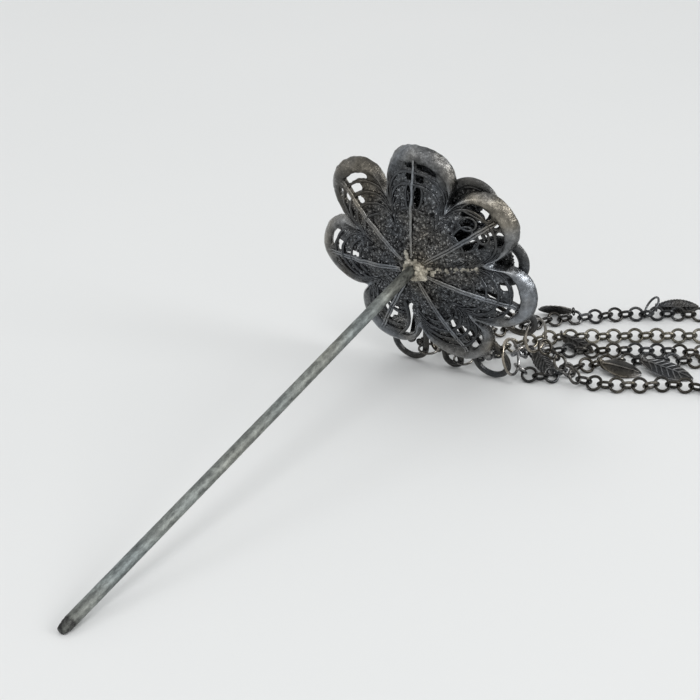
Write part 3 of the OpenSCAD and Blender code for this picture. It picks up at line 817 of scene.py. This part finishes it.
def rope(radius, height, strand, twist):
    """Two strands wound round each other, in a ring round the rod's axis."""
    a = all_round(twist * 10)
    return [(flower(hoop(radius + strand * np.cos(a * twist + half), a,
                         height + strand * np.sin(a * twist + half))), True, 1.0) for half in (0, math.pi)]


ropes = wires("ropes", rope(radius=5.0, height=-6.95, strand=0.12, twist=36)
              + rope(radius=2.1, height=-9.1, strand=0.1, twist=18), 0.14, WIRE, sides=6, worn=0.5)
# rings of grains: how many, radius of the ring, z, radius of a grain
RINGS_OF_GRAINS = ((26, 4.45, -7.1, 0.36), (12, 1.5, -9.3, 0.3), (1, 0, -9.2, 0.8))
spots = np.concatenate([hoop(r, all_round(n), z) for n, r, z, _ in RINGS_OF_GRAINS])
sizes = np.concatenate([np.full(n, size) for n, _, _, size in RINGS_OF_GRAINS])
balls = beads_at("boss_balls", flower(spots), sizes, WIRE, detail=2, worn=0.5)
boss = join("boss", [boss_body, ropes, balls])
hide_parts("front_boss")
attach(boss, "root")
print("boss:", triangles(boss), "triangles")

# %% [markdown]
# ## The rod
# The rod is a drawn wire, pushed through hair for years. It isn't quite even, and its end is cut and
# filed to a blunt dark tip. A lathe shape with many short rings can take tiny dents; the `tone` value
# darkens the tip and the stretch that the solder's heat blued.

# %% Draw the rod
ROD_R, FOOT_R, END_R = 1.05, 1.01, 0.45
START, SIDES = 0.1, 40
stations = np.concatenate([[START], np.linspace(0.6, 99.0, 330), np.linspace(99.2, ROD_LENGTH, 24)])
radius = np.where(stations < 2.0, FOOT_R, ROD_R) - 0.36 * np.clip((stations - 99.5) / 2.0, 0, 1) ** 1.5
# two filed grooves: place, depth, width
for place, depth, width in ((99.6, 0.07, 0.16), (100.5, 0.05, 0.13)):
    radius -= depth * np.exp(-((stations - place) / width) ** 2)
radius[-1] = END_R
points, faces = lathe(list(zip(radius, stations)), SIDES)
z = np.concatenate([np.repeat(stations, SIDES), [START, ROD_LENGTH]])
# dark at the tip and the foot, a little lighter towards the far half
tone = (-0.44 * np.clip((z - 99.1) / 0.5, 0, 1) - 0.22 * np.exp(-(z / 9.0) ** 2)
        + 0.06 * np.clip((z - 25) / 60, 0, 1))
rod = add_mesh("rod", points, faces, worn=0.8, tone=tone)
dress(rod, ROD)
roughen(rod, deep=0.03, shallow=0.03, size=1.1, seed=4.0)
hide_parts("pin_rod")
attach(rod, "root")
print("rod:", triangles(rod), "triangles")

# %% [markdown]
# ## The solder
# Where rod and flower meet, the solder was heaped on in blobs that ran into each other. Overlapping
# balls, melted into one skin by a voxel remesh and then roughened, come close to that.

# %% Melt the solder
def melted(name, balls, voxel, bump, tone=0.0):
    """balls: (centre, radius), fused into one skin on a grid of voxels."""
    bm = bmesh.new()
    for centre, r in balls:
        made = bmesh.ops.create_icosphere(bm, subdivisions=3, radius=r * MM)
        bmesh.ops.translate(bm, verts=made["verts"], vec=Vector(np.asarray(centre) * MM))
    mesh = bpy.data.meshes.new(name)
    bm.to_mesh(mesh)
    bm.free()
    obj = placed(name, mesh)
    fuse = obj.modifiers.new("fuse", "REMESH")
    fuse.mode = "VOXEL"
    fuse.voxel_size = voxel * MM
    settle(obj)
    give(obj.data, "worn", 0.5)
    give(obj.data, "tone", tone)
    roughen(obj, deep=bump, shallow=bump, size=0.5, seed=2.0)
    obj.data.shade_smooth()
    obj.data.materials.append(SOLDER)
    return obj


# place of each lump on the flower's back, and its radius; the last three are the stub of wire
LUMPS = [
    (-0.5, -1.75, 1.25), (-1.5, -0.3, 0.9), (0.8, -1.5, 0.95), (1.3, 0.6, 0.8), (-0.6, 1.3, 0.8),
    (-1.2, -2.3, 0.75), (0.1, -2.5, 0.7), (1.9, -0.9, 0.45), (2.5, 0.8, 0.42), (3.1, 0.9, 0.42),
    (3.6, 0.95, 0.36)]
HEAP_Z = 0.2
heap = [(flower([u, v, HEAP_Z]), r) for u, v, r in LUMPS]
heap += [(spot, 0.45) for spot in flower(hoop(1.4, all_round(14), HEAP_Z))]
solder = melted("solder", heap, voxel=0.13, bump=0.3)
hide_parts("solder_lump")
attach(solder, "root")
# a second line of solder runs out along the crease between the sixth and the seventh petal
seam = []
for share in np.linspace(0.2, 0.84, 60):
    wobble, size = waver(share * 60, 0.5, 0.2), waver(share * 47, 4.5, 2.2)
    x, y, z = on_petal(5, 90 + side_angle(BACK[5]), share, -0.09)
    seam.append((flower([x + wobble * 1.5, y, z]), max(0.14, 0.25 + 0.36 * size)))
seam_solder = melted("seam_solder", seam, voxel=0.11, bump=0.2, tone=-0.05)
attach(seam_solder, "root")
print("solder:", triangles(solder), "and", triangles(seam_solder), "triangles")

# %% [markdown]
# ## The chains
# Rolo chain is round links, each closed through its two neighbours and turned a quarter from them; lying
# down, they lean 45 degrees to either side. A smooth curve through a few given points is each chain's
# run. The link is made once and placed on every point of the run, with its turn as a point value.

# %% The link tree
LINK_TREE, given = new_tree("links along a run", Link="Float", Wire="Float", Metal="Material")
circle = put(LINK_TREE, "GeometryNodeCurvePrimitiveCircle", {"Resolution": 28, "Radius": given["Link"]})
to_turn = put(LINK_TREE, "FunctionNodeEulerToRotation",
              {"Euler": point_value(LINK_TREE, "turn", "FLOAT_VECTOR")})
dots = put(LINK_TREE, "GeometryNodeMeshToPoints", {"Mesh": given["Geometry"]})
place_on(LINK_TREE, dots, round_wire(LINK_TREE, circle, given["Wire"], 10), given["Metal"], Rotation=to_turn)

# %% The runs
LINK_R, WIRE_R = 1.36, 0.2
PITCH = 2 * (LINK_R - WIRE_R) - 0.2
LEAN = math.radians(45)
# half the height of a leaning link's middle line, and where its middle lies over the table
LINK_RISE = LINK_R * math.sin(LEAN)
LYING = LINK_RISE + WIRE_R
UP = np.array([0, 0, 1])
# x and y from the rod's foot, and z where the link hangs above the table
ROUTES = [
    [(14.9, 3.3, 2.6), (17, 2.8, 1.6), (19.5, 2.2), (24, 0.8), (30, -1.5), (36, -5),
     (41, -8.5), (44.5, -12), (47.5, -15.5), (50.5, -18.5), (53, -22), (55.5, -25.5),
     (58, -30), (60.5, -35), (62.5, -40)],
    [(15.7, -4, 2.1), (17.8, -4.4, 1.3), (20, -5.2), (24.5, -7.4), (29, -9.6), (33, -12.5),
     (36.5, -17), (39, -21), (41.5, -24.5), (44, -28), (46, -31.5), (48.5, -35.5),
     (51, -39.5), (53, -44)],
    [(16.75, -13.35, 4.5), (19.6, -13.15, 3.3), (22.3, -13.6, 2.1), (24.6, -14.2, 1.3), (27, -15.4),
     (29.2, -18), (31, -21.4), (33, -24.2), (35.4, -27.5), (37.2, -31),
     (39.3, -34.5), (41, -38.5), (43.5, -42.5), (45.5, -47)],
    [(13.3, -20.6, 8.4), (14.1, -22, 6.7), (14.9, -23.3, 5), (15.9, -24.5, 3.3), (17.1, -25.6, 1.9),
     (18.2, -26.9), (18.2, -29.2), (18.9, -31.3), (20.2, -33.4), (21.5, -35.6),
     (22.8, -37.6), (24.5, -39.5), (25.7, -41.8), (26.6, -44.2), (27.2, -46.6),
     (28.6, -50.5), (30.2, -54.4)],
    [(15.25, -14.8, 1.8), (15, -17), (15.8, -19.2), (17.6, -20.7), (20, -21.7),
     (22.4, -22.6), (24.8, -24), (27.7, -26.4), (30.6, -29.5), (33, -33.2),
     (35.3, -36.8), (37.6, -40.5), (40, -45), (41.5, -49.5)]]
LEANS = [1, -1, -1, 1, -1]


def curve_through(route):
    """A Catmull-Rom curve with eight steps between points."""
    pts = np.array([(*point, LYING)[:3] for point in route], float)
    pts = np.concatenate([pts[:1], pts, pts[-1:]])
    return np.array([0.5 * (2 * b + (c - a) * t + (2 * a - 5 * b + 4 * c - d) * t * t
                            + (3 * b - a - 3 * c + d) * t ** 3)
                     for a, b, c, d in zip(pts, pts[1:], pts[2:], pts[3:]) for t in np.arange(8) / 8])


CURVES = [curve_through(r) for r in ROUTES]
RUNS = [np.concatenate([[0], np.cumsum(np.linalg.norm(np.diff(c, axis=0), axis=1))]) for c in CURVES]
LINK_COUNTS = [int(run[-1] / PITCH) + 1 for run in RUNS]


def along(n, s):
    return np.array([np.interp(s, RUNS[n], CURVES[n][:, axis]) for axis in range(3)])


def yaw_and_dip(n, i):
    """Which way chain n runs at link i, and how steeply it falls there."""
    v = along(n, i * PITCH + 0.5) - along(n, i * PITCH - 0.5)
    return math.atan2(v[1], v[0]), math.atan2(-v[2], math.hypot(v[0], v[1]))


def way_of(yaw):
    return np.array([math.cos(yaw), math.sin(yaw), 0])


def link_at(n, i):
    low = LINK_R * math.sqrt(1 - 0.5 * math.cos(yaw_and_dip(n, i)[1]) ** 2) + WIRE_R
    x, y, z = along(n, i * PITCH)
    return np.array([x, y, max(z, low)])


# %% String the links
LINK_WIRE = 0.28
BRIGHT_LINKS = {(2, 0): 0.35, (2, 1): 0.3, (4, 0): 0.15}
chain_tris = 0
for n, count in enumerate(LINK_COUNTS):
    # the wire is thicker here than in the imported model, so the links lie that much higher
    centres = np.array([link_at(n, i) for i in range(count)]) + (LINK_WIRE - WIRE_R) * UP
    turns = []
    for i in range(count):
        yaw, dip = yaw_and_dip(n, i)
        turns.append((LEAN * LEANS[n] * (-1) ** i, dip, yaw))
    tones = [0.16 * waver(i * 1.7, n * 5.3, 0.4) + BRIGHT_LINKS.get((n, i), 0.0) for i in range(count)]
    run = add_mesh(f"rolo_chain_{n + 1}", on_table(centres), turn=turns, tone=tones, worn=0.3)
    grow(run, LINK_TREE, Link=LINK_R * MM, Wire=LINK_WIRE * MM, Metal=BRASSY if n == 1 else CHAIN)
    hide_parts(f"chain_{n + 1}")
    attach(run, "root")
    chain_tris += triangles(run)
print("links:", sum(LINK_COUNTS), "with", chain_tris, "triangles")

# %% [markdown]
# ## Jump rings
# A jump ring is a turn of wire, closed by hand, so a hairline seam stays open in it. An arc that stops
# just short of a full turn, with capped ends, shows that seam.

# %% Close the jump rings
# the fifth ring stands on this link of the first chain, 56 degrees from lying flat: its middle is off its
# foot by that angle's cosine and sine
STAND_AT, STAND_R = 23, 2.1
stand_yaw = yaw_and_dip(0, STAND_AT)[0]
stand_foot = link_at(0, STAND_AT) + LINK_RISE * (way_of(stand_yaw - math.pi / 2) + UP)
stand_middle = stand_foot + (STAND_R - 0.75) * (0.56 * way_of(stand_yaw) + 0.83 * UP)
# middle, radius, radius of the wire, turns about x, y and z, where the seam is, wear
RINGS = [
    ((12.4, 3.58, 2.69), 1.8, 0.23, (4, -6.5, -1.3), 40, 0.45),
    ((13.25, -3.65, 2.03), 1.8, 0.22, (3.4, -13.1, -3.9), 200, 0.45),
    ((13.07, -13.74, 4.93), 3.36, 0.27, (73.2, 2.8, 5.4), 150, 0.75),
    ((11.95, -19.24, 10.99), 3.05, 0.26, (84.1, -0.4, -9.6), 60, 0.75),
    (stand_middle, STAND_R, 0.24, (0, -56, math.degrees(stand_yaw)), 120, 0.45)]
HALF_SEAM = 1.5


def euler(a, b, c):
    """Turns about x, then y, then z, in radians."""
    return np.array(Matrix.Rotation(c, 3, "Z") @ Matrix.Rotation(b, 3, "Y") @ Matrix.Rotation(a, 3, "X"))


for number, (middle, r, wire, turn_by, seam_at, wear_and_light) in enumerate(RINGS, 1):
    a = np.radians(np.linspace(seam_at + HALF_SEAM, seam_at + 360 - HALF_SEAM, 56))
    arc = hoop(r, a) @ euler(*np.radians(turn_by)).T + np.array(middle)
    ring = wires(f"ring_{number}", [(on_table(arc), False, 1.0)], wire, CHAIN, sides=12, worn=wear_and_light)
    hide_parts(f"jump_ring_{number}")
    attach(ring, "root")
print("rings:", len(RINGS))

# %% [markdown]
# ## Leaf drops
# Each leaf is stamped from sheet, domed, with a raised midrib, veins and a milled edge, and hangs on a
# small soldered ring. The blade is a grid between its two curved sides; the veins and the edge are wires
# laid over it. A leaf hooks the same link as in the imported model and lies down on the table.

# %% Leaf numbers
# chain, link, side, turn from the chain, length, width, roll, ribs, wear, teeth of a saw-toothed edge
LEAVES = [
    (0, 16, 1, 146, 8.6, 4, 42, 5, 0.25, 9), (0, 24, 1, 17, 11.4, 2.6, 68, 8, 0.1, 14),
    (4, 12, -1, -27, 12, 4, 20, 6, 0.35, 0), (4, 8, -1, -27, 9.4, 4, 20, 0, 0.35, 0),
    (1, 10, -1, -38, 8.4, 3.6, 12, 4, 0.1, 8), (2, 2, -1, -96, 7.4, 4, 0, 6, 0.1, 8)]
# the leaves at the chains' ends are alike; side 0 means straight on from the last link
LEAVES += [(n, count - 1, 0, 0, 9, 3.8, 0, 5, 0.4, 9) for n, count in enumerate(LINK_COUNTS)]
BAIL_R, BAIL_WIRE, VEIN_WIRE, LEAF_T = 0.72, 0.16, 0.17, 0.6
BLADE_T, DOME = 0.32, 0.34


def half_width(x, length, width):
    bow = (length * length + width * width) / (4 * width)
    return np.sqrt(bow * bow - (x - length / 2) ** 2) - (bow - width / 2)


def dome_at(x, y, length, width):
    w = np.maximum(half_width(x, length, width), 1e-6)
    return 0.02 + DOME * np.clip(1 - (y / w) ** 2, 0, 1) * np.clip(np.sin(x / length * math.pi) * 1.6, 0, 1)


# %% Blade and veins
def stamp(name, lay, length, width, teeth, wear_and_light):
    """The domed blade: a grid between the two curved sides, its upper and lower face."""
    nu, nv = 41, 13
    u = np.linspace(0.012, 0.988, nu) * length
    saw = 1 + 0.07 * bool(teeth) * (np.abs(((u / length * teeth) % 1) - 0.5) * 2 - 0.5)
    x = np.repeat(u, nv)
    y = np.tile(np.linspace(-1, 1, nv), nu) * np.repeat(half_width(u, length, width), nv)
    z = dome_at(x, y, length, width)
    y = y * np.repeat(saw, nv)
    total = nu * nv
    faces = []
    for q in grid_faces(nu, nv):
        faces += [q, [total + j for j in reversed(q)]]
    border = ([a * nv for a in range(nu)] + [(nu - 1) * nv + b for b in range(1, nv)]
              + [a * nv + nv - 1 for a in range(nu - 2, -1, -1)] + list(range(nv - 2, 0, -1)))
    faces += [[a, b, total + b, total + a] for a, b in zip(border, border[1:] + border[:1])]
    blade = add_mesh(name, np.concatenate([lay(x, y, z), lay(x, y, z - BLADE_T)]), faces, worn=wear_and_light)
    dress(blade, LEAF)
    return blade


def vein_lines(lay, length, width, ribs, teeth):
    """The midrib, a pair of veins for each rib, and the wire round the edge."""
    x = np.linspace(0.05, 0.93, 24) * length
    lines = [(lay(x, 0 * x, dome_at(x, 0 * x, length, width) + 0.05), False, np.linspace(1.25, 0.6, 24))]
    t = np.linspace(0, 1, 9)
    for j in range(ribs):
        x = (0.14 + 0.68 * j / ribs) * length + t * width * 0.34
        out = t * np.minimum(half_width(np.minimum(x, length * 0.97), length, width) * 0.92, width)
        for y in (-out, out):
            lines.append((lay(x, y, dome_at(x, y, length, width) + 0.03), False, np.linspace(1.0, 0.7, 9)))
    x = np.linspace(0.015, 0.985, 48) * length
    y = half_width(x, length, width)
    swell = 1 + 0.28 * bool(teeth) * np.cos(np.linspace(0, teeth * 4 * math.pi, 96))
    lines.append((lay(np.append(x, x[::-1]), np.append(y, -y[::-1]), np.full(96, -0.1)), True, swell))
    return lines


# %% Hang the leaves
leaf_tris = 0
for number, (n, i, side, turn_by, full, width, roll, ribs, wear_and_light, teeth) in enumerate(LEAVES, 1):
    chain_yaw, roll = yaw_and_dip(n, i)[0], math.radians(roll)
    bail_yaw = chain_yaw + math.radians(90 * side)
    out = way_of(bail_yaw)
    place = link_at(n, i) + (LINK_RISE * (out + UP) if side else LINK_R * out) + 0.1 * out
    root = place + (BAIL_R - 0.08) * out
    length = full - 2 * BAIL_R
    # the leaf falls from the link until its tip, or the edge it is rolled onto, rests on the table
    end_z, edge = LEAF_T / 2 + 0.03, 2 * width * math.sin(roll)
    under = LEAF_T / 2 * math.cos(roll) + 0.06
    rest = (end_z if place[2] - end_z > edge
            else max(end_z, place[2] + edge - 2 * math.sqrt(edge * (place[2] - under))))
    pose = euler(roll, math.asin((place[2] - rest) / length), chain_yaw + math.radians(turn_by))

    def lay(x, y, z):
        return on_table(np.stack([x, y, z], -1) @ pose.T + root)

    blade = stamp(f"blade_{number}", lay, length, width, teeth, wear_and_light)
    veins = wires(f"veins_{number}", vein_lines(lay, length, width, ribs, teeth), VEIN_WIRE, LEAF, sides=6,
                  worn=min(1.0, wear_and_light + 0.35))
    hook = on_table(hoop(BAIL_R, all_round(28)) @ euler(math.pi / 2, 0, bail_yaw).T + place)
    bail = wires(f"bail_{number}", [(hook, True, 1.0)], BAIL_WIRE, LEAF)
    leaf = join(f"leaf_{number}", [blade, veins, bail])
    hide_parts(f"leaf_drop_{number}")
    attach(leaf, "root")
    leaf_tris += triangles(leaf)
print("leaves:", leaf_tris, "triangles")

# %% [markdown]
# ## Table, light and camera
# The photo was taken on a pale sweep under soft light: a lamp from the right, one above the camera and one
# from behind, in white surroundings that fill the shadows. Two more lamps are switched off for dull
# surfaces, so they leave the table alone and put highlights on the rims. The floor is a matt pale grey with
# faint clouds in it. The camera's place was worked out from the rod and the chains, which touch the table.

# %% The table
FAR = 2500
floor = add_mesh("table", [(x * FAR, y * FAR, -0.02) for x, y in ((-1, -1), (1, -1), (1, 1), (-1, 1))],
                 [[0, 1, 2, 3]])
paper = bpy.data.materials.new("pale sweep")
paper.use_nodes = True
tree = paper.node_tree
cloud = noise_at(tree, put(tree, "ShaderNodeTexCoord", output="Object"), 9.0, 3.0, 0.5)
sheet_shader = tree.nodes["Principled BSDF"]
sheet_shader.inputs["Roughness"].default_value = 0.85
sheet_shader.inputs["Specular IOR Level"].default_value = 0.1
shade = colours_along(tree, cloud, (0.0, (0.765, 0.775, 0.775)), (1.0, (0.795, 0.80, 0.80)))
tree.links.new(shade, sheet_shader.inputs["Base Color"])
floor.data.materials.append(paper)
floor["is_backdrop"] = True

# %% The light
scene = bpy.context.scene
scene.view_settings.view_transform = "Standard"
world = bpy.data.worlds.new("studio")
scene.world = world
world.use_nodes = True
background = world.node_tree.nodes["Background"].inputs
background["Color"].default_value = (0.975, 0.985, 0.985, 1)
background["Strength"].default_value = 0.74

CAMERA_AT, LOOK_AT = Vector((-0.25045, -0.13693, 0.14562)), Vector((0.02541, 0.03878, 0.0))
VIEW = (LOOK_AT - CAMERA_AT) * Vector((1, 1, 0))
VIEW.normalize()
RIGHT = Vector((VIEW.y, -VIEW.x, 0))
MIDDLE = Vector((0.005, 0.02, 0.01))


def aim(obj, place, way):
    obj.location = place
    obj.rotation_mode = "QUATERNION"
    obj.rotation_quaternion = way.to_track_quat("-Z", "Y")


def lamp(name, off, size, watts, glint=False):
    data = bpy.data.lights.new(name, "AREA")
    data.shape = "RECTANGLE"
    data.size, data.size_y = size
    data.energy = watts
    obj = placed(name, data)
    away = RIGHT * off[0] + VIEW * off[1] + Vector((0, 0, off[2]))
    aim(obj, MIDDLE + away, -away)
    obj.visible_diffuse = not glint


# towards the right, away from the camera and up, all in metres
lamp("lamp_right", (0.7, -0.35, 0.45), (0.32, 0.32), 1.6)
lamp("lamp_back", (-0.3, 0.5, 0.75), (0.45, 0.3), 0.63)
lamp("lamp_front", (-0.05, -0.5, 0.8), (0.35, 0.35), 1.75)
# two soft boxes that show only as highlights on the metal
lamp("glint_right", (0.7, -0.1, 0.5), (0.22, 0.3), 5.0, True)
lamp("glint_left", (-0.6, -0.25, 0.6), (0.2, 0.3), 0.9, True)

# %% The camera
camera = placed("camera", bpy.data.cameras.new("camera"))
camera.data.lens = 94.63
camera.data.sensor_width = 36.0
aim(camera, CAMERA_AT, LOOK_AT - CAMERA_AT)
scene.camera = camera

# %% [markdown]
# ## Check the size
# The last look is at the boxes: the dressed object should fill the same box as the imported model.

# %% Finish
low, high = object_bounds()
print("visual box in mm:", [round(v * 1000, 2) for v in (high - low)])
for a, b, c, d in zip("xyz", CAD_LOW, low, zip(CAD_HIGH, high)):
    print(a, "low", round((c - b) * 1000, 2), "high", round((d[1] - d[0]) * 1000, 2), "mm from the CAD box")
